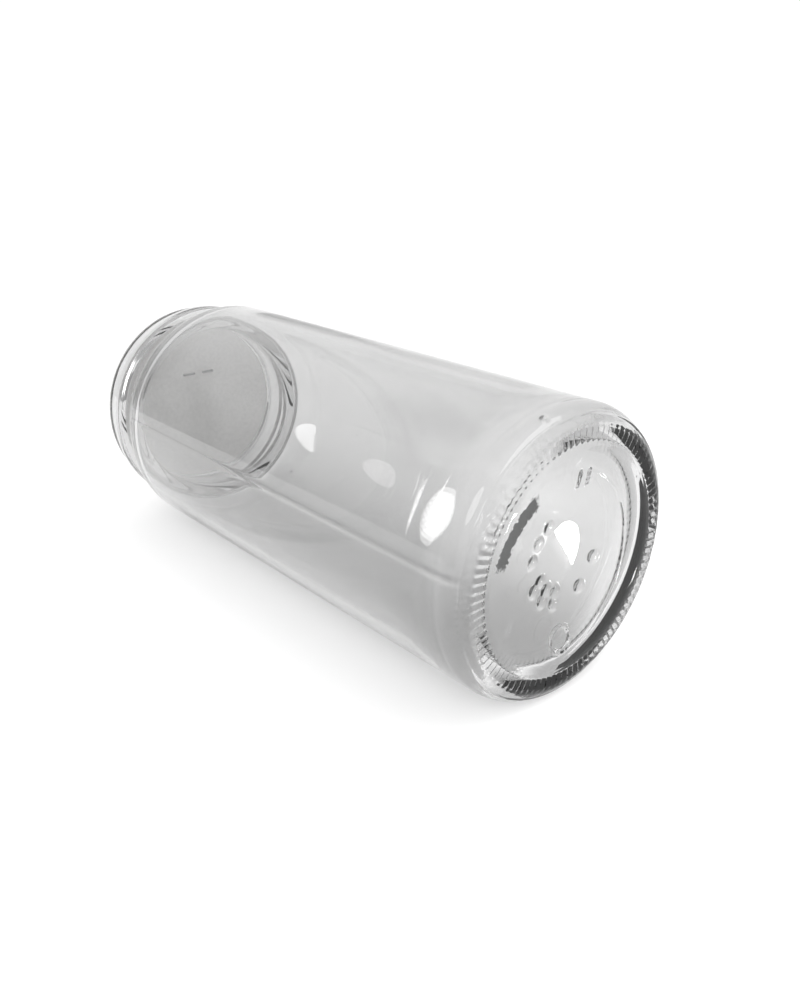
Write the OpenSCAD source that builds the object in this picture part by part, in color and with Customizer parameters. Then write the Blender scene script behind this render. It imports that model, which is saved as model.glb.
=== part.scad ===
// Wide-mouth half-litre glass milk bottle with a pull-out paper cap disc.
// Origin: centre of the base, on the surface that the bottle stands on. +Z runs up the bottle's axis.

/* [Body] */
// Outside diameter of the straight body
body_d = 72; // [68:1:90]
// Overall height, base to rim
height = 168; // [160:1:240]
// Thickness of the body wall
wall = 3; // [2:0.25:4]
// Thickness of glass at the middle of the base
base_t = 4; // [3:0.5:6]

/* [Shoulder and neck] */
// How far the shoulder draws in, on the radius
shoulder_in = 4.7; // [3:0.1:6]
// Height of the shoulder curve
shoulder_h = 8.4; // [7:0.1:12]
// Height of neck and finish above the shoulder
neck_h = 16.6; // [15:0.1:20]
// Radius of the neck bore, under the cap seat
bore_r = 26.5; // [24:0.5:27]
// How far the finish bead stands out of the neck
bead_out = 1.9; // [1:0.1:2.5]

/* [Base] */
// Radius of the heel, where the body turns into the base
heel_r = 6; // [5:0.5:7]
// Inner radius of the bearing ring
bearing_in = 26.8; // [25:0.2:27]
// Height of the push-up at the middle of the base
push_up = 3.2; // [2:0.1:4]
// Number of knurls round the bearing ring
knurls = 96; // [48:12:96]
// Depth of a knurl
knurl_depth = 0.3; // [0.2:0.05:0.4]
// Diameter of a raised mould dot
dot_d = 2; // [1.5:0.1:2.4]

/* [Cap] */
// Radius of the cap disc
disc_r = 27.7; // [27.5:0.1:27.75]
// Thickness of the cap disc
disc_t = 1.2; // [0.8:0.1:1.4]
// Depth of the cap seat below the rim
seat_depth = 6; // [5.5:0.1:7]
// Width of the pull tab
tab_w = 9; // [7:0.5:10]
// Length of the pull tab from its hinge
tab_l = 28; // [20:1:32]
// Thickness of the folded tab paper
tab_t = 0.5; // [0.4:0.1:0.6]
// Diameter of the staple wire
wire_d = 0.8; // [0.7:0.05:0.9]

/* [Hidden] */

$fn = 96;
arc_steps = 12;

body_r = body_d / 2;
inner_r = body_r - wall;
neck_r = body_r - shoulder_in;
throat_r = 28;                       // radius above the cap seat
neck_z = height - neck_h;            // where the shoulder meets the neck
shoulder_z = neck_z - shoulder_h;    // where the shoulder leaves the body
seat_z = height - seat_depth;
disc_top = seat_z + disc_t;

bead_z = neck_z + 6.5;               // underside of the finish bead's land
bead_h = 3;                          // height of the bead's land
bead_soft = 1.2;                     // how far the bead's rounded edges reach along the axis
rim_r = neck_r + 0.6;
rim_soft = 1.2;
lip_soft = 0.8;

corner_r = 8;                        // inside corner at the foot of the wall
floor_z = push_up + base_t;
floor_edge_z = floor_z - 1.2;

knurl_in = bearing_in + 1.3;
knurl_w = 0.9;

hinge_y = -10;                       // the tab's hinge line on the disc
wire_r = wire_d / 2;
eye_gap = 0.05;                      // running clearance of the tab's eye on the wire
eye_in = wire_r + eye_gap;
eye_out = eye_in + tab_t;
tab_lift = 0.15;                     // gap between the resting tab and the disc
hinge_z = disc_top + tab_lift + eye_out;
leg_x = tab_w / 2 + 0.3 + wire_r;
clinch_z = seat_z - wire_r - 0.05;

// Points along a circular arc in the profile plane
function arc(x, y, r, from, to) =
    [for (i = [0 : arc_steps]) let (a = from + (to - from) * i / arc_steps) [x + r * cos(a), y + r * sin(a)]];

// Two arcs that carry an outline in by dr over a height dz, tangent to the axis at both ends
function ogee(r, z, dr, dz) =
    let (turn = 2 * atan(dr / dz), both = dz / sin(turn), a = 0.56 * both, b = both - a)
    concat(arc(r - a, z, a, 0, turn), arc(r - dr + b, z + dz, b, 180 + turn, 180));

// Height of the underside of the push-up at radius r
function dome(r) = push_up * (1 - pow(r / bearing_in, 2));

function reversed(list) = [for (i = [len(list) - 1 : -1 : 0]) list[i]];

outer_side = concat(
    [[bearing_in, 0]],
    arc(body_r - heel_r, heel_r, heel_r, -90, 0),
    ogee(body_r, shoulder_z, shoulder_in, shoulder_h),
    [[neck_r, bead_z - bead_soft]],
    arc(neck_r + bead_out - bead_soft, bead_z, bead_soft, -60, 0),
    arc(neck_r + bead_out - bead_soft, bead_z + bead_h, bead_soft, 0, 60),
    [[neck_r, bead_z + bead_h + bead_soft + 0.2], [neck_r, height - 4.4]],
    [[rim_r, height - 3.6]],
    arc(rim_r - rim_soft, height - rim_soft, rim_soft, 0, 90)
);

inner_side = concat(
    arc(throat_r + lip_soft, height - lip_soft, lip_soft, 90, 180),
    [[throat_r, seat_z], [bore_r, seat_z]],
    reversed(ogee(inner_r, shoulder_z - 2.5, inner_r - bore_r, shoulder_h + 2.5)),
    reversed(arc(inner_r - corner_r, floor_edge_z + corner_r, corner_r, -90, 0)),
    [[0, floor_z]]
);

under_side = [for (i = [0 : arc_steps - 1]) let (r = bearing_in * i / arc_steps) [r, dome(r)]];

// One radial groove across the outer part of the bearing ring
module knurl() {
    translate([knurl_in, 0, knurl_w / 2 - knurl_depth])
        rotate([0, 90, 0]) cylinder(d = knurl_w, h = heel_r, $fn = 24);
}

// A shallow raised dot on the push-up, at a polar place
module mould_dot(r, angle) {
    bulge = 1.2;
    translate([r * cos(angle), r * sin(angle), dome(r) - 0.35 + bulge])
        intersection() {
            sphere(r = bulge, $fn = 32);
            cylinder(d = dot_d, h = 2 * bulge, center = true, $fn = 32);
        }
}

module mould_dots() {
    for (angle = [-122, -145, -168, 152, 128, 104]) mould_dot(11, angle);
    for (angle = [154, 129, 104]) mould_dot(8.4, angle);
}

// Plain raised figures: a ring on one side of the base and two short bars on the other
module mould_figures() {
    place_r = 20;
    slope = atan(2 * push_up * place_r / pow(bearing_in, 2));
    translate([-1, place_r, dome(place_r)])
        rotate([-slope, 0, 0]) rotate_extrude() translate([3.2, 0]) circle(r = 0.4, $fn = 24);
    for (side = [-1, 1])
        translate([3.5 + 1.5 * side, -place_r + 1, dome(place_r - 1)])
            rotate([slope, 0, 0]) cube([0.9, 4, 0.8], center = true);
}

module glass_bottle() {
    color([0.86, 0.88, 0.88, 0.4])
        union() {
            difference() {
                rotate_extrude() polygon(concat(under_side, outer_side, inner_side));
                for (i = [0 : knurls - 1]) rotate([0, 0, i * 360 / knurls]) knurl();
            }
            mould_dots();
            mould_figures();
        }
}

module cap_disc() {
    color([0.93, 0.91, 0.86])
        difference() {
            translate([0, 0, seat_z]) cylinder(r = disc_r, h = disc_t);
            for (side = [-1, 1])
                translate([side * leg_x, hinge_y, seat_z - 1]) cylinder(r = wire_r, h = disc_t + 2, $fn = 32);
        }
}

// A rod of a length, centred on the tab's hinge line
module across_hinge(r, length) {
    translate([-length / 2, hinge_y, hinge_z]) rotate([0, 90, 0]) cylinder(r = r, h = length, $fn = 48);
}

// The strip and the eye that it is folded into, round the staple's crown
module pull_tab() {
    color([0.9, 0.88, 0.82])
        difference() {
            union() {
                across_hinge(eye_out, tab_w);
                translate([-tab_w / 2, hinge_y, hinge_z - eye_out]) cube([tab_w, tab_l - tab_w / 2, tab_t]);
                translate([0, hinge_y + tab_l - tab_w / 2, hinge_z - eye_out]) cylinder(d = tab_w, h = tab_t);
            }
            across_hinge(eye_in, 2 * tab_w);
        }
}

// Crown over the disc, two legs through it and two points clinched in under it
module tab_staple() {
    clinch = leg_x - 1.5;
    color("silver")
        union() {
            across_hinge(wire_r, 2 * leg_x);
            for (side = [-1, 1]) {
                translate([side * leg_x, hinge_y, clinch_z])
                    cylinder(r = wire_r, h = hinge_z - clinch_z, $fn = 32);
                translate([side * leg_x, hinge_y, clinch_z]) sphere(r = wire_r, $fn = 32);
                translate([side * leg_x, hinge_y, hinge_z]) sphere(r = wire_r, $fn = 32);
                translate([side * leg_x, hinge_y, clinch_z])
                    rotate([0, -90 * side, 0]) cylinder(r = wire_r, h = clinch, $fn = 32);
            }
        }
}

glass_bottle();
cap_disc();
pull_tab();
tab_staple();
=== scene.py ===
import math

import bmesh
import bpy
from bpy.props import FloatProperty, FloatVectorProperty, IntProperty, PointerProperty
from mathutils import Matrix, Vector, noise


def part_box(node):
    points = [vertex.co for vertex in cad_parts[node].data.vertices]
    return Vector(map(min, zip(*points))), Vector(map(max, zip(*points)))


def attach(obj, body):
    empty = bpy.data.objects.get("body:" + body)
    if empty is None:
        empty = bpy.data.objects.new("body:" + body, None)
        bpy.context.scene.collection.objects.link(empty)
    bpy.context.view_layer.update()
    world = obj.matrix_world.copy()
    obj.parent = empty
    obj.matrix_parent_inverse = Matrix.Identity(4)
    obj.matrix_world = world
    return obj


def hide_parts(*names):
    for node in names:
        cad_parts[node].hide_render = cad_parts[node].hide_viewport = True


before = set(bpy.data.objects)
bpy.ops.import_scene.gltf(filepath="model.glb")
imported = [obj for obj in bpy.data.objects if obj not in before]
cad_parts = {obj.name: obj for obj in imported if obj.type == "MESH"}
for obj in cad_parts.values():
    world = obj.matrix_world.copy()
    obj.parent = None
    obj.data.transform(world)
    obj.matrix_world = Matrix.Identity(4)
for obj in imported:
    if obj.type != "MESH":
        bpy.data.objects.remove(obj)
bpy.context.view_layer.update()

bl_info = {
    "name": "Glass milk bottle",
    "version": (1, 0, 0),
    "blender": (4, 5, 0),
    "location": "View3D > Sidebar > Bottle",
    "description": "A wide-mouth glass milk bottle with a paper cap disc, and the stage that it lies on",
    "category": "Object",
}

MM = 0.001

GLASS_LOW, GLASS_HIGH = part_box("glass_bottle")
DISC_LOW, DISC_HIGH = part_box("cap_disc")

BODY_R = (GLASS_HIGH.x - GLASS_LOW.x) / 2
HEIGHT = GLASS_HIGH.z
SEAT_Z = DISC_LOW.z

BAFFLE_AT = (-3.5 * MM, 1.1 * MM)    # middle of the thin circle that the mould's baffle plate leaves
BAFFLE_R = 23.7 * MM
RING_AT, RING_R = Vector((-1 * MM, 20 * MM)), 3.2 * MM
BARS_AT, BARS_APART = Vector((3.5 * MM, -19 * MM)), 3 * MM
FIGURE_H = 0.55 * MM                 # how far the ring and the bars stand out
KNURLS_IN, KNURLS_OUT = 28 * MM, 31 * MM
PARTING_R = 34.1 * MM                # the heel's parting line
BLISTER_AT = Vector((-8.4 * MM, -34.5 * MM, 3.6 * MM))
BLISTER_R = 1.3 * MM
SCUFF_ANGLE = math.radians(-138)     # heading of the scuff's middle from the baffle circle's middle
STIPPLE_SCALE = 1500                 # grains per metre, in the heel's stipple and the scuff's worn edge


# ---------------------------------------------------------------- sizes and colours

class BottleSizes(bpy.types.PropertyGroup):
    """What the glass measures, beyond its outside diameter and height"""
    wall: FloatProperty(name="Wall", description="Thickness of the body wall",
                        default=3 * MM, unit="LENGTH")
    neck_in: FloatProperty(name="Shoulder", description="How far the shoulder draws in",
                           default=4.7 * MM, unit="LENGTH")
    shoulder_h: FloatProperty(name="Shoulder height", description="Height of the shoulder curve",
                              default=8.4 * MM, unit="LENGTH")
    neck_h: FloatProperty(name="Neck height", description="Neck and finish above the shoulder",
                          default=16.6 * MM, unit="LENGTH")
    bore_r: FloatProperty(name="Neck bore", description="Radius of the neck bore under the cap seat",
                          default=26.5 * MM, unit="LENGTH")
    throat_r: FloatProperty(name="Throat", description="Radius of the throat over the cap seat",
                            default=28 * MM, unit="LENGTH")
    bead_out: FloatProperty(name="Bead", description="How far the finish bead stands out of the neck",
                            default=1.9 * MM, unit="LENGTH")
    heel_r: FloatProperty(name="Heel", description="Radius of the heel", default=6 * MM, unit="LENGTH")
    bearing_in: FloatProperty(name="Bearing ring", description="Inner radius of the bearing ring",
                              default=26.8 * MM, unit="LENGTH")
    push_up: FloatProperty(name="Push-up", description="Height of the push-up in the base",
                           default=3.2 * MM, unit="LENGTH")
    base_t: FloatProperty(name="Base", description="Glass thickness at the middle of the base",
                          default=4 * MM, unit="LENGTH")
    corner_r: FloatProperty(name="Inside corner", description="Inside corner at the foot of the wall",
                            default=8 * MM, unit="LENGTH")


class GlassRelief(bpy.types.PropertyGroup):
    """What the mould leaves on the glass"""
    segments: IntProperty(name="Segments", description="Steps round the bottle", default=384)
    knurls: IntProperty(name="Knurls", description="Knurls round the bearing ring", default=96)
    knurl_depth: FloatProperty(name="Knurl depth", description="Depth of a knurl",
                               default=0.5 * MM, unit="LENGTH")
    dot_r: FloatProperty(name="Dot radius", description="Radius of a mould dot",
                         default=1.9 * MM, unit="LENGTH")
    dot_h: FloatProperty(name="Dot height", description="Height of a mould dot",
                         default=0.5 * MM, unit="LENGTH")
    baffle_h: FloatProperty(name="Baffle line", description="Height of the baffle plate's circle",
                            default=0.16 * MM, unit="LENGTH")
    peel: FloatProperty(name="Orange peel", description="Depth of the stipple on the heel",
                        default=0.4 * MM, unit="LENGTH")
    parting: FloatProperty(name="Parting line", description="Height of the heel's parting line",
                           default=0.2 * MM, unit="LENGTH")
    wave: FloatProperty(name="Waviness", description="How uneven the inner wall is",
                        default=0.12 * MM, unit="LENGTH")
    blister_h: FloatProperty(name="Blister", description="Height of the blister on the heel",
                             default=0.6 * MM, unit="LENGTH")
    dip: FloatProperty(name="Dip", description="Depth of the long shallow dips in the side",
                       default=0.05 * MM, unit="LENGTH")
    seam_h: FloatProperty(name="Seam", description="Height of the mould seams",
                          default=0.15 * MM, unit="LENGTH")
    seam_angle: FloatProperty(name="Seam angle", description="Where the first mould seam lies",
                              default=math.radians(-170.6), subtype="ANGLE")


class Finishes(bpy.types.PropertyGroup):
    """Colours and finishes"""
    glass: FloatVectorProperty(name="Glass", description="Tint of the glass", subtype="COLOR",
                               size=4, default=(0.8, 0.8, 0.8, 1))
    # painted light: the same glass is tinted lighter at the base than up the side, so that the base looks
    # brighter
    clear: FloatVectorProperty(name="Base glass", description="Tint of the glass at the base",
                               subtype="COLOR", size=4, default=(0.98, 0.98, 0.98, 1))
    absorb: FloatProperty(name="Absorption", description="Absorption in the glass, per metre",
                          default=14)
    # the cloudy patches are partly condensation inside the glass and partly painted shade for the
    # surroundings seen through it
    cloud_and_shade: FloatVectorProperty(name="Cloud", description="Tint of the cloudy patches on the side",
                               subtype="COLOR", size=4, default=(0.7, 0.7, 0.7, 1))
    scuff: FloatVectorProperty(name="Scuff", description="Tint of the specks and the scuff on the base",
                               subtype="COLOR", size=4, default=(0.002, 0.002, 0.002, 1))
    board: FloatVectorProperty(name="Board", description="Colour of the waxed paperboard",
                               subtype="COLOR", size=4, default=(0.95, 0.945, 0.93, 1))
    # the board's glow is painted light: an emission that lights up the disc, standing in for light that
    # comes through the board
    board_painted_glow: FloatProperty(name="Board glow", description="Light that shows through the board",
                              default=0.22)
    paper: FloatVectorProperty(name="Tab paper", description="Colour of the pull tab's paper",
                               subtype="COLOR", size=4, default=(0.7, 0.69, 0.67, 1))
    wire: FloatVectorProperty(name="Wire", description="Colour of the staple wire",
                              subtype="COLOR", size=4, default=(0.62, 0.62, 0.63, 1))


class StageSettings(bpy.types.PropertyGroup):
    """Camera, floor and light. The bottle lies on a floor that is upright in the bottle's own frame"""
    lens: FloatProperty(name="Lens", description="Focal length on a 36 mm sensor, in mm", default=33.76)
    pitch: FloatProperty(name="Pitch", description="How far the camera looks down at the floor",
                         default=math.radians(22.64), subtype="ANGLE")
    heading: FloatProperty(name="Heading", description="Camera's heading across the bottle's axis",
                           default=math.radians(40.76), subtype="ANGLE")
    camera_at: FloatVectorProperty(name="Camera", description="Camera's place in body radii",
                                   size=3, default=(-4.2085, -2.5896, -3.2436))
    floor_size: FloatProperty(name="Floor", description="Width of the floor",
                              default=1.9, unit="LENGTH")


# ---------------------------------------------------------------- helpers

def settings():
    return bpy.context.scene.milk_bottle


def arc(x, z, r, start, end, steps):
    """Points along a circular arc in the profile plane, with the angles in degrees"""
    points = []
    for i in range(steps + 1):
        a = math.radians(start + (end - start) * i / steps)
        points.append((x + r * math.cos(a), z + r * math.sin(a)))
    return points


def ogee(r, z, dr, dz, steps):
    """Two arcs that carry an outline in by dr over a height dz, upright at both ends"""
    turn = 2 * math.degrees(math.atan(dr / dz))
    both = dz / math.sin(math.radians(turn))
    first = 0.56 * both
    second = both - first
    return (arc(r - first, z, first, 0, turn, steps)
            + arc(r - dr + second, z + dz, second, 180 + turn, 180, steps)[1:])


def line(start, end, steps):
    """Points along a straight stretch, without its ends"""
    return [(start[0] + (end[0] - start[0]) * i / steps, start[1] + (end[1] - start[1]) * i / steps)
            for i in range(1, steps)]


def smoothstep(low, high, value):
    t = min(max((value - low) / (high - low), 0), 1)
    return t * t * (3 - 2 * t)


def window(low, high, soft, value):
    """1 between low and high, falling to 0 over soft on either side"""
    return smoothstep(low - soft, low, value) * (1 - smoothstep(high, high + soft, value))


def new_object(name, bm, smooth_angle=40):
    """A finished object from a bmesh, with edges sharper than smooth_angle kept sharp"""
    for edge in bm.edges:
        if len(edge.link_faces) == 2 and edge.calc_face_angle(0) > math.radians(smooth_angle):
            edge.smooth = False
    for face in bm.faces:
        face.smooth = True
    mesh = bpy.data.meshes.new(name)
    bm.to_mesh(mesh)
    bm.free()
    made = bpy.data.objects.new(name, mesh)
    bpy.context.scene.collection.objects.link(made)
    return made


def spun(outline, segments):
    """A closed solid of revolution about Z from an outline that starts and ends on the axis"""
    bm = bmesh.new()
    verts = [bm.verts.new((r, 0, z)) for r, z in outline]
    edges = [bm.edges.new(pair) for pair in zip(verts, verts[1:])]
    bmesh.ops.spin(bm, geom=verts + edges, cent=(0, 0, 0), axis=(0, 0, 1), angle=math.tau,
                   steps=segments, use_merge=True)
    bmesh.ops.remove_doubles(bm, verts=bm.verts, dist=1e-6)
    bmesh.ops.recalc_face_normals(bm, faces=bm.faces)
    return bm


def material(name):
    """A fresh material, with its node tree and its Principled node"""
    made = bpy.data.materials.new(name)
    made.use_nodes = True
    tree = made.node_tree
    return made, tree, tree.nodes["Principled BSDF"]


def joined(tree, kind, operation, *values):
    """A math or vector-math node's result: each value is a number, a vector or a socket to link"""
    node = tree.nodes.new(kind)
    node.operation = operation
    for socket, value in zip(node.inputs, values):
        if isinstance(value, bpy.types.NodeSocket):
            tree.links.new(value, socket)
        else:
            socket.default_value = value
    return node.outputs["Value" if operation in ("LENGTH", "DOT_PRODUCT") else 0]


def number(tree, operation, *values):
    return joined(tree, "ShaderNodeMath", operation, *values)


def vector(tree, operation, *values):
    return joined(tree, "ShaderNodeVectorMath", operation, *values)


def object_place(tree):
    """The place on the piece, in metres from the part's origin"""
    return tree.nodes.new("ShaderNodeTexCoord").outputs["Object"]


def axis_height(tree, place):
    """How far a place is up the bottle's axis"""
    return vector(tree, "DOT_PRODUCT", place, (0, 0, 1))


def rising(tree, value, low, high):
    """0 under low, 1 over high, and smooth between them"""
    node = tree.nodes.new("ShaderNodeMapRange")
    node.interpolation_type = "SMOOTHSTEP"
    node.inputs["From Min"].default_value = low
    node.inputs["From Max"].default_value = high
    tree.links.new(value, node.inputs["Value"])
    return node.outputs["Result"]


def band(tree, value, low, high, soft):
    """1 between low and high, falling to 0 over soft on either side"""
    falling = number(tree, "SUBTRACT", 1.0, rising(tree, value, high, high + soft))
    return number(tree, "MULTIPLY", rising(tree, value, low - soft, low), falling)


def grain(tree, where, scale, detail):
    """A noise pattern's value at a place"""
    node = tree.nodes.new("ShaderNodeTexNoise")
    node.inputs["Scale"].default_value = scale
    node.inputs["Detail"].default_value = detail
    tree.links.new(where, node.inputs["Vector"])
    return node.outputs["Fac"]


def mixed(tree, factor, first, second):
    """A blend of two colours, each a value or a socket"""
    node = tree.nodes.new("ShaderNodeMix")
    node.data_type = "RGBA"
    tree.links.new(factor, node.inputs["Factor"])
    for name, colour in (("A", first), ("B", second)):
        if isinstance(colour, bpy.types.NodeSocket):
            tree.links.new(colour, node.inputs[name])
        else:
            node.inputs[name].default_value = colour
    return node.outputs["Result"]


def add_bump(tree, shader, height, strength, distance):
    """Drives a shader's normal from a height"""
    bump = tree.nodes.new("ShaderNodeBump")
    bump.inputs["Strength"].default_value = strength
    bump.inputs["Distance"].default_value = distance
    tree.links.new(height, bump.inputs["Height"])
    tree.links.new(bump.outputs["Normal"], shader.inputs["Normal"])


def dress(name, look):
    """Gives a CAD piece its material"""
    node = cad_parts[name]
    node.data.materials.clear()
    node.data.materials.append(look)


def finish_piece(piece, look, body):
    """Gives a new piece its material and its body"""
    piece.data.materials.clear()
    piece.data.materials.append(look)
    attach(piece, body)


# ---------------------------------------------------------------- glass

def dome(r, sizes):
    """Height of the push-up's underside at radius r"""
    return sizes.push_up * (1 - (r / sizes.bearing_in) ** 2)


def glass_outline(sizes):
    """The bottle's section: under the base, up the outside, down the inside and back to the axis"""
    neck_r = BODY_R - sizes.neck_in
    inner_r = BODY_R - sizes.wall
    neck_z = HEIGHT - sizes.neck_h
    shoulder_z = neck_z - sizes.shoulder_h
    inside_z = shoulder_z - 2.5 * MM                    # where the inside leaves the body's wall
    bead_z, bead_h, soft = neck_z + 6.5 * MM, 3 * MM, 1.2 * MM
    rim_r, rim_z = neck_r + 0.6 * MM, HEIGHT - 3.6 * MM
    lip = 0.8 * MM
    floor_z = sizes.push_up + sizes.base_t
    edge_z = floor_z - 1.2 * MM

    under = [(0, dome(0, sizes))]
    r = 1.5 * MM
    while r < sizes.bearing_in - 0.1 * MM:
        under.append((r, dome(r, sizes)))
        marked = 6 * MM < r < 24.5 * MM                 # closer rings carry the mould's marks
        r += 0.35 * MM if marked else 0.7 * MM

    heel = [(sizes.bearing_in, 0)] + line((sizes.bearing_in, 0), (BODY_R - sizes.heel_r, 0), 14)
    heel += arc(BODY_R - sizes.heel_r, sizes.heel_r, sizes.heel_r, -90, 0, 36)
    body = [(BODY_R, sizes.heel_r + up * MM) for up in (0.3, 0.8, 1.6, 3, 5)]
    body += line((BODY_R, sizes.heel_r), (BODY_R, shoulder_z), 14)
    shoulder = ogee(BODY_R, shoulder_z, sizes.neck_in, sizes.shoulder_h, 8)
    bead_x = neck_r + sizes.bead_out - soft
    finish = [(neck_r, bead_z - soft - 1 * MM), (neck_r, bead_z - soft)]
    finish += arc(bead_x, bead_z, soft, -60, 0, 5)
    finish += arc(bead_x, bead_z + bead_h, soft, 0, 60, 5)
    finish += [(neck_r, bead_z + bead_h + soft + 0.2 * MM), (neck_r, rim_z - 0.8 * MM), (rim_r, rim_z)]
    finish += arc(rim_r - soft, HEIGHT - soft, soft, 0, 90, 6)

    throat = arc(sizes.throat_r + lip, HEIGHT - lip, lip, 90, 180, 5)
    throat += line((sizes.throat_r, HEIGHT - lip), (sizes.throat_r, SEAT_Z), 3)
    throat += [(sizes.throat_r, SEAT_Z), (sizes.bore_r, SEAT_Z)]
    inside = ogee(inner_r, inside_z, inner_r - sizes.bore_r, neck_z - inside_z, 9)
    inside = [(sizes.bore_r, SEAT_Z - 0.4 * MM)] + inside[::-1]
    corner = arc(inner_r - sizes.corner_r, edge_z + sizes.corner_r, sizes.corner_r, 0, -90, 10)
    inside += line((inner_r, inside_z), corner[0], 20)
    floor = []
    for i in range(1, 13):
        t = i / 12
        floor.append((corner[-1][0] * (1 - t), edge_z + (floor_z - edge_z) * math.sin(math.pi / 2 * t)))
    return under + heel + body + shoulder + finish + throat + inside + corner + floor


def mould_places():
    """Centres of the mould dots on the base"""
    ring = [(11 * MM, a) for a in (-122, -145, -168, 152, 128, 104, 55, 15)]
    ring += [(8.4 * MM, a) for a in (154, 129, 104)]
    return [Vector((r * math.cos(math.radians(a)), r * math.sin(math.radians(a)))) for r, a in ring]


def base_relief(x, y, relief, dots):
    """How far the marks on the base stand out of the push-up at a place"""
    here = Vector((x, y))
    high = 0.0
    for dot in dots:
        d = (here - dot).length / relief.dot_r
        if d < 1:
            high = max(high, relief.dot_h * (1 - d ** 3))
    ring = abs((here - RING_AT).length - RING_R)
    high = max(high, FIGURE_H * (1 - smoothstep(0.15 * MM, 0.6 * MM, ring)))
    for side in (-1, 1):
        across = abs(x - BARS_AT.x - side * BARS_APART / 2)
        along = abs(y - BARS_AT.y)
        bar = (1 - smoothstep(0.2 * MM, 0.6 * MM, across)) * (1 - smoothstep(1.8 * MM, 2.3 * MM, along))
        high = max(high, FIGURE_H * bar)
    baffle = abs((here - Vector(BAFFLE_AT)).length - BAFFLE_R)
    return max(high, relief.baffle_h * (1 - smoothstep(0.05 * MM, 0.45 * MM, baffle)))


def blister(x, y, z):
    """1 at the middle of the small blister on the heel, 0 outside it"""
    d = (Vector((x, y, z)) - BLISTER_AT).length / BLISTER_R
    return (1 - d * d) ** 2 if d < 1 else 0


def side_low(x, y, z, angle, relief):
    """How far the side lies under its full radius, which only the mould seams reach"""
    seam = min(abs(math.remainder(angle - relief.seam_angle, math.pi)) * BODY_R, 1)
    low = relief.seam_h * smoothstep(0.1 * MM, 0.9 * MM, seam)
    return low + relief.dip * (0.5 + 0.5 * noise.noise(Vector((x / 0.02, y / 0.02, z / 0.2))))


def heel_cut(x, y, z, angle, relief):
    """How deep the heel is cut at a place by its knurls and stipple. Ridges count as negative"""
    r = math.hypot(x, y)
    here = Vector((x, y, z))
    coarse = window(math.radians(-152), math.radians(-116), math.radians(14), angle)
    cut = relief.knurl_depth * (0.5 + 0.5 * math.cos(relief.knurls * angle)) * (1 - 0.5 * coarse)
    cut *= smoothstep(KNURLS_IN, KNURLS_IN + 0.25 * MM, r)
    cut *= 1 - smoothstep(KNURLS_OUT, KNURLS_OUT + 1.4 * MM, r)
    peel = noise.noise(here / (1.0 * MM)) + 0.7 * noise.noise(here / (2.1 * MM))
    zone = window((31.6 - 2 * coarse) * MM, 33.8 * MM, 0.4 * MM, r)
    cut += relief.peel * (0.4 + 0.6 * coarse) * (0.5 + 0.5 * peel) * zone
    cut -= relief.parting * (1 - smoothstep(0, 0.4 * MM, abs(r - PARTING_R)))
    return cut - relief.blister_h * blister(x, y, z)


def shape_glass(bm, sizes, relief):
    """Moves the spun glass's vertices for knurls, stipple, mould marks, seams and an uneven wall"""
    inner_r = BODY_R - sizes.wall
    neck_z = HEIGHT - sizes.neck_h
    shoulder_z = neck_z - sizes.shoulder_h
    dots = mould_places()
    for v in bm.verts:
        x, y, z = v.co
        r = math.hypot(x, y)
        if r < 1e-6:
            continue
        out = Vector((x / r, y / r, 0))
        angle = math.atan2(y, x)
        shoulder_r = BODY_R - 2 * MM - 0.54 * max(z - shoulder_z, 0)    # between outside and inside
        if r < sizes.bearing_in - 0.1 * MM and z < sizes.push_up + 0.1 * MM:
            v.co.z -= base_relief(x, y, relief, dots)
        elif r > sizes.bearing_in + 0.4 * MM and z < sizes.heel_r:
            lean = smoothstep(BODY_R - sizes.heel_r, BODY_R, r)
            v.co += (Vector((0, 0, 1)) * (1 - lean) - out * lean) * heel_cut(x, y, z, angle, relief)
            v.co -= out * lean * side_low(x, y, z, angle, relief)
        elif z >= sizes.heel_r and r > shoulder_r and z < neck_z:
            fade = 1 - smoothstep(shoulder_z + 3 * MM, neck_z, z)
            v.co -= out * fade * side_low(x, y, z, angle, relief)
        elif r < inner_r + 1e-6 and sizes.push_up + sizes.base_t < z < HEIGHT - 27 * MM:
            swell = noise.fractal(Vector((x / 0.03, y / 0.03, z / 0.2 + 7)), 0.8, 2.2, 2)
            v.co += out * relief.wave * swell


def speck_mask(tree, place):
    """1 in a few small specks, 0 elsewhere"""
    cells = tree.nodes.new("ShaderNodeTexVoronoi")
    cells.inputs["Scale"].default_value = 85
    tree.links.new(place, cells.inputs["Vector"])
    small = number(tree, "LESS_THAN", cells.outputs["Distance"], 0.03)
    chance = vector(tree, "DOT_PRODUCT", cells.outputs["Color"], (1, 0, 0))
    return number(tree, "MULTIPLY", small, number(tree, "GREATER_THAN", chance, 0.7))


def scuff_mask(tree, place, height):
    """1 in the ragged scuff that follows the inside of the baffle circle, 0 elsewhere"""
    flat = vector(tree, "MULTIPLY", vector(tree, "SUBTRACT", place, (*BAFFLE_AT, 0)), (1, 1, 0))
    reach = vector(tree, "LENGTH", flat)
    ragged = number(tree, "MULTIPLY_ADD", grain(tree, place, 1300, 3), -3.4 * MM, reach)
    middle = (math.cos(SCUFF_ANGLE), math.sin(SCUFF_ANGLE), 0)
    heading = number(tree, "DIVIDE", vector(tree, "DOT_PRODUCT", flat, middle), reach)
    crescent = number(tree, "MULTIPLY", band(tree, ragged, 16.9 * MM, 20.3 * MM, 0.9 * MM),
                      rising(tree, heading, 0.87, 0.95))
    worn = number(tree, "ADD", crescent, grain(tree, place, STIPPLE_SCALE, 3))
    outside = number(tree, "LESS_THAN", height, 3.6 * MM)
    return number(tree, "MULTIPLY", rising(tree, worn, 0.75, 1.3), outside)


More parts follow.
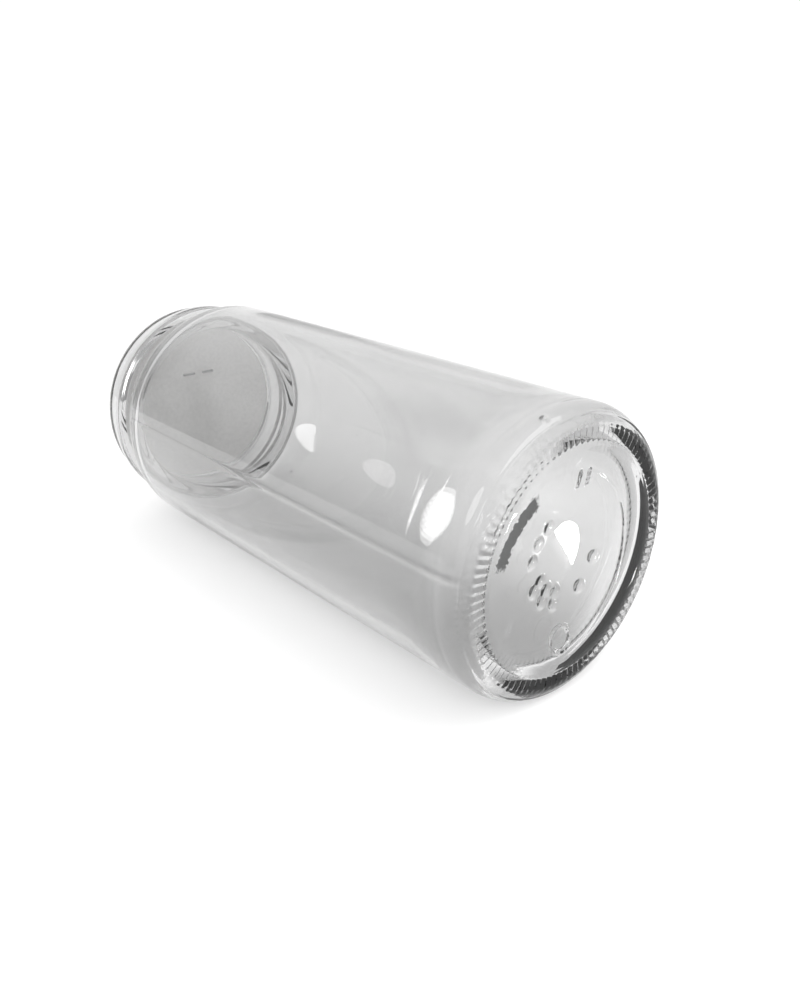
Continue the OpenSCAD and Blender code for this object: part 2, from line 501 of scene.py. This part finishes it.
def glass_colour(tree, place, finishes):
    """The glass's tint: lighter at the base than up the side, which is painted light on the base; faint
    cloudy patches on the side, partly real and partly painted shade; specks and one dark scuff
    """
    height = axis_height(tree, place)
    # cloudy patches: partly condensation inside the glass, partly painted shade for the surroundings seen
    # through it
    cloud_and_shade = rising(tree, grain(tree, vector(tree, "MULTIPLY", place, (1, 1, 0.5)), 26, 4), 0.42, 0.7)
    side = mixed(tree, cloud_and_shade, finishes.glass, finishes.cloud_and_shade)
    # painted light: the base is tinted lighter than the side above it, so that it looks brighter
    tint = mixed(tree, rising(tree, height, 2 * MM, 16 * MM), finishes.clear, side)
    tint = mixed(tree, speck_mask(tree, place), tint, finishes.scuff)
    return mixed(tree, scuff_mask(tree, place, height), tint, finishes.scuff)


def glass_height(tree, place):
    """The glass's fine relief: a long ripple everywhere and a stipple on the outside of the heel"""
    ripple = grain(tree, vector(tree, "MULTIPLY", place, (1, 1, 0.3)), 80, 2)
    radius = vector(tree, "LENGTH", vector(tree, "MULTIPLY", place, (1, 1, 0)))
    outside = number(tree, "LESS_THAN", axis_height(tree, place), 3 * MM)
    zone = number(tree, "MULTIPLY", band(tree, radius, 30.4 * MM, 33.7 * MM, 0.5 * MM), outside)
    stipple = number(tree, "MULTIPLY", zone, grain(tree, place, STIPPLE_SCALE, 3))
    return number(tree, "MULTIPLY_ADD", stipple, 30.0, ripple)


def glass_look(finishes):
    """Clear glass: a polished surface with a faint ripple, over a body that darkens where it is thick"""
    made, tree, shader = material("bottle_glass")
    place = object_place(tree)
    shader.inputs["Transmission Weight"].default_value = 1
    shader.inputs["IOR"].default_value = 1.52
    tree.links.new(glass_colour(tree, place, finishes), shader.inputs["Base Color"])
    add_bump(tree, shader, glass_height(tree, place), 0.03, 0.6 * MM)
    tree.links.new(number(tree, "MULTIPLY", grain(tree, place, 120, 2), 0.012), shader.inputs["Roughness"])
    absorb = tree.nodes.new("ShaderNodeVolumeAbsorption")
    absorb.inputs["Color"].default_value = (0, 0, 0, 1)
    absorb.inputs["Density"].default_value = finishes.absorb
    tree.links.new(absorb.outputs["Volume"], tree.nodes["Material Output"].inputs["Volume"])
    return made


class BOTTLE_OT_glass(bpy.types.Operator):
    """Make the glass bottle"""
    bl_idname = "bottle.glass"
    bl_label = "Glass bottle"

    def execute(self, context):
        shared = settings()
        bm = spun(glass_outline(shared.sizes), shared.relief.segments)
        shape_glass(bm, shared.sizes, shared.relief)
        bmesh.ops.recalc_face_normals(bm, faces=bm.faces)
        piece = new_object("glass", bm)
        finish_piece(piece, glass_look(shared.finishes), "bottle")
        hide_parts("glass_bottle")
        return {"FINISHED"}


# ---------------------------------------------------------------- cap

def board_look(name, colour, fibre_scale):
    """Waxed paper or board: flecked fibres, a soft waxy sheen and a slightly rough face"""
    made, tree, shader = material(name)
    fibre = grain(tree, object_place(tree), fibre_scale, 6)
    dark = (*[c * 0.86 for c in colour[:3]], 1)
    tone = tree.nodes.new("ShaderNodeValToRGB")
    for element, position, shade in zip(tone.color_ramp.elements, (0.3, 0.7), (dark, colour)):
        element.position = position
        element.color = shade
    tree.links.new(fibre, tone.inputs["Fac"])
    tree.links.new(tone.outputs["Color"], shader.inputs["Base Color"])
    add_bump(tree, shader, fibre, 0.3, 0.1 * MM)
    shader.inputs["Roughness"].default_value = 0.5
    shader.inputs["Coat Weight"].default_value = 0.35
    shader.inputs["Coat Roughness"].default_value = 0.3
    return made


def disc_outline():
    """The disc's section: a flat underside, soft edges and a groove pressed into the top"""
    low, high = DISC_LOW.z, DISC_HIGH.z
    edge, soft, groove = DISC_HIGH.x, 0.2 * MM, 0.25 * MM
    outline = [(0, low), (edge - 6 * MM, low)]
    outline += arc(edge - soft, low + soft, soft, -90, 0, 4)
    outline += arc(edge - soft, high - soft, soft, 0, 90, 4)
    outline += [(edge - 1.6 * MM, high), (edge - 2.2 * MM, high - groove)]
    outline += [(edge - 3.2 * MM, high - groove), (edge - 3.8 * MM, high), (0, high)]
    return outline


class BOTTLE_OT_disc(bpy.types.Operator):
    """Make the cap disc, with a pressed groove near its edge"""
    bl_idname = "bottle.disc"
    bl_label = "Cap disc"

    def execute(self, context):
        finishes = settings().finishes
        piece = new_object("disc", spun(disc_outline(), 128), 60)
        look = board_look("cap_board", finishes.board, 900)
        shader = look.node_tree.nodes["Principled BSDF"]
        shader.inputs["Subsurface Weight"].default_value = 0.25
        shader.inputs["Subsurface Radius"].default_value = (1, 1, 1)
        shader.inputs["Subsurface Scale"].default_value = 3 * MM
        # painted glow: the board emits light of its own, standing in for the light that comes through the
        # thin board
        shader.inputs["Emission Color"].default_value = (1, 1, 1, 1)
        shader.inputs["Emission Strength"].default_value = finishes.board_painted_glow
        finish_piece(piece, look, "cap")
        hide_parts("cap_disc")
        return {"FINISHED"}


class BOTTLE_OT_tab(bpy.types.Operator):
    """Dress the pull tab"""
    bl_idname = "bottle.tab"
    bl_label = "Pull tab"

    def execute(self, context):
        dress("pull_tab", board_look("tab_board", settings().finishes.paper, 1400))
        return {"FINISHED"}


class BOTTLE_OT_staple(bpy.types.Operator):
    """Dress the staple"""
    bl_idname = "bottle.staple"
    bl_label = "Staple"

    def execute(self, context):
        made, tree, shader = material("staple_steel")
        drawn = grain(tree, vector(tree, "MULTIPLY", object_place(tree), (1, 6, 6)), 500, 3)
        shader.inputs["Base Color"].default_value = settings().finishes.wire
        shader.inputs["Metallic"].default_value = 1
        tree.links.new(number(tree, "MULTIPLY_ADD", drawn, 0.3, 0.15), shader.inputs["Roughness"])
        dress("tab_staple", made)
        return {"FINISHED"}


# ---------------------------------------------------------------- stage

def floor_look(name, glow, grey):
    """A pale floor that is seen from its front only, so that it never hides the bottle"""
    made, tree, shader = material(name)
    shader.inputs["Base Color"].default_value = (grey, grey, grey, 1)
    shader.inputs["Roughness"].default_value = 0.9
    shader.inputs["Specular IOR Level"].default_value = 0
    shader.inputs["Emission Color"].default_value = (1, 1, 1, 1)
    shader.inputs["Emission Strength"].default_value = glow
    clear = tree.nodes.new("ShaderNodeBsdfTransparent")
    side = tree.nodes.new("ShaderNodeNewGeometry")
    pick = tree.nodes.new("ShaderNodeMixShader")
    tree.links.new(side.outputs["Backfacing"], pick.inputs["Fac"])
    tree.links.new(shader.outputs["BSDF"], pick.inputs[1])
    tree.links.new(clear.outputs["BSDF"], pick.inputs[2])
    tree.links.new(pick.outputs["Shader"], tree.nodes["Material Output"].inputs["Surface"])
    return made


def add_floor(name, size, place, look):
    """A square floor: place takes its own Z to the floor's front"""
    bm = bmesh.new()
    bmesh.ops.create_grid(bm, x_segments=1, y_segments=1, size=size / 2)
    bmesh.ops.transform(bm, matrix=place, verts=bm.verts)
    made = new_object(name, bm)
    made.data.materials.append(look)
    return made


def add_floors(size):
    """The floor that the bottle lies on, and a shelf under the standing bottle that casts no shadow"""
    lying = Matrix.Translation((0, BODY_R, 0)) @ Matrix.Rotation(math.pi / 2, 4, "X")
    add_floor("floor", size, lying, floor_look("floor_paper", glow=0.4, grey=0.6))
    shelf = add_floor("shelf", 1.2, Matrix.Translation((0, 0, -0.2 * MM)),
                      floor_look("shelf_paper", glow=0.1, grey=0.82))
    shelf.visible_diffuse = False
    shelf.visible_glossy = False
    shelf.visible_shadow = False


def add_lamp(name, aim, toward, distance, width, height, power, up=(0, -1, 0)):
    """A flat lamp that faces aim, which is in body radii, from a distance toward a direction"""
    data = bpy.data.lights.new(name, "AREA")
    data.shape = "ELLIPSE"
    data.size, data.size_y = width, height
    data.energy = power
    lamp = bpy.data.objects.new(name, data)
    back = Vector(toward).normalized()
    side = Vector(up).cross(back).normalized()
    turn = Matrix((side, back.cross(side), back)).transposed()
    lamp.matrix_world = Matrix.Translation(Vector(aim) * BODY_R + back * distance) @ turn.to_4x4()
    bpy.context.scene.collection.objects.link(lamp)
    lamp.visible_camera = False
    return lamp


def add_bay_window(panes=9):
    """Overlapping panes bowed about the bottle's axis, which its round side shows as one upright oval"""
    first, last = math.radians(-140), math.radians(-173.5)
    tilt = math.radians(41.9)
    for i in range(panes):
        t = i / (panes - 1)
        turn = first + (last - first) * t
        toward = (math.cos(tilt) * math.cos(turn), math.cos(tilt) * math.sin(turn), math.sin(tilt))
        width = 0.056 * (1 - 1.7 * (t - 0.46) ** 2)
        add_lamp("window", aim=(-0.88, -0.47, 0.3), toward=toward, distance=1.6, width=width, height=0.28,
                 power=2.7 * width, up=(-math.sin(turn), math.cos(turn), 0))


def add_lamps():
    """The lamps that the glass shows as highlights, and one that only lights the floor and the cap"""
    add_bay_window()
    add_lamp("far_window", aim=(-0.81, -0.58, 1.65), toward=(-0.475, -0.408, 0.781), distance=1.6,
             width=0.04, height=0.4, power=0.11, up=(0.676, -0.737, 0.019))
    add_lamp("middle_window", aim=(-0.83, -0.56, 0.82), toward=(-0.553, -0.411, 0.721), distance=1.6,
             width=0.07, height=0.36, power=0.065, up=(0.623, -0.781, 0.027))
    add_lamp("softbox", aim=(-0.5, -0.8, 0.08), toward=(0.157, -0.897, -0.413), distance=1,
             width=1.2, height=0.35, power=2.5, up=(-0.43, -0.35, 0.83))
    add_lamp("side_card", aim=(-0.5, -0.8, 0.08), toward=(-0.765, -0.62, -0.18), distance=1.2,
             width=0.5, height=0.6, power=2, up=(0.216, -0.376, 0.252))
    add_lamp("base_card", aim=(0.05, 0.03, 0.09), toward=(0.707, 0.439, -0.554), distance=2.3 * BODY_R,
             width=0.01, height=0.01, power=0.0042)
    key = add_lamp("key", aim=(0, 0, HEIGHT / 2 / BODY_R), toward=(-0.5, -0.6, -0.62), distance=1.4,
                   width=0.6, height=0.6, power=6)
    key.visible_glossy = False


def sky(heading):
    """A soft room: a white backdrop ahead of the camera, a bright wall behind it, and grey elsewhere"""
    world = bpy.data.worlds.new("room")
    bpy.context.scene.world = world
    world.use_nodes = True
    tree = world.node_tree
    place = tree.nodes.new("ShaderNodeTexCoord").outputs["Generated"]
    walls = tree.nodes.new("ShaderNodeValToRGB")
    for element, position, grey in zip(walls.color_ramp.elements, (0.28, 0.42), (0.5, 0.7)):
        element.position = position
        element.color = (grey, grey, grey, 1)
    tree.links.new(vector(tree, "DOT_PRODUCT", place, (0, -1, 0)), walls.inputs["Fac"])
    ahead = vector(tree, "DOT_PRODUCT", place, (math.sin(heading), 0, math.cos(heading)))
    room = mixed(tree, rising(tree, ahead, 0.45, 0.75), walls.outputs["Color"], (1.04, 1.04, 1.04, 1))
    behind = vector(tree, "DOT_PRODUCT", place, (0, -0.3, -0.95))
    room = mixed(tree, rising(tree, behind, 0.05, 0.5), room, (1.3, 1.3, 1.3, 1))
    tree.links.new(room, tree.nodes["Background"].inputs["Color"])


def add_camera(stage):
    """The camera, which looks along its heading and down at the floor by its pitch"""
    h, p = stage.heading, stage.pitch
    ahead = Vector((math.sin(h) * math.cos(p), math.sin(p), math.cos(h) * math.cos(p)))
    right = Vector((math.cos(h), 0, -math.sin(h)))
    turn = Matrix((right, right.cross(ahead), -ahead)).transposed()
    data = bpy.data.cameras.new("camera")
    data.sensor_width = 36
    data.lens = stage.lens
    data.clip_start, data.clip_end = 0.01, 50
    camera = bpy.data.objects.new("camera", data)
    camera.matrix_world = Matrix.Translation(Vector(stage.camera_at) * BODY_R) @ turn.to_4x4()
    bpy.context.scene.collection.objects.link(camera)
    bpy.context.scene.camera = camera


class BOTTLE_OT_stage(bpy.types.Operator):
    """Make the camera, the floor, the room's light and the lamps"""
    bl_idname = "bottle.stage"
    bl_label = "Stage"

    def execute(self, context):
        stage = settings().stage
        add_camera(stage)
        add_floors(stage.floor_size)
        add_lamps()
        sky(stage.heading)
        context.scene.view_settings.view_transform = "Standard"
        return {"FINISHED"}


# ---------------------------------------------------------------- panel and running

class MilkBottle(bpy.types.PropertyGroup):
    """Everything that a user would change"""
    sizes: PointerProperty(type=BottleSizes)
    relief: PointerProperty(type=GlassRelief)
    finishes: PointerProperty(type=Finishes)
    stage: PointerProperty(type=StageSettings)


STEPS = (BOTTLE_OT_glass, BOTTLE_OT_disc, BOTTLE_OT_tab, BOTTLE_OT_staple, BOTTLE_OT_stage)


class BOTTLE_PT_panel(bpy.types.Panel):
    """Lists the bottle's pieces and the stage"""
    bl_idname = "BOTTLE_PT_panel"
    bl_label = "Glass milk bottle"
    bl_space_type = "VIEW_3D"
    bl_region_type = "UI"
    bl_category = "Bottle"

    def draw(self, context):
        for step in STEPS:
            self.layout.operator(step.bl_idname)


CLASSES = (BottleSizes, GlassRelief, Finishes, StageSettings, MilkBottle, *STEPS, BOTTLE_PT_panel)


def register():
    for each in CLASSES:
        bpy.utils.register_class(each)
    bpy.types.Scene.milk_bottle = PointerProperty(type=MilkBottle)


def unregister():
    del bpy.types.Scene.milk_bottle
    for each in reversed(CLASSES):
        bpy.utils.unregister_class(each)


def main():
    register()
    bpy.ops.bottle.glass()
    bpy.ops.bottle.disc()
    bpy.ops.bottle.tab()
    bpy.ops.bottle.staple()
    bpy.ops.bottle.stage()


if __name__ == "__main__":
    main()
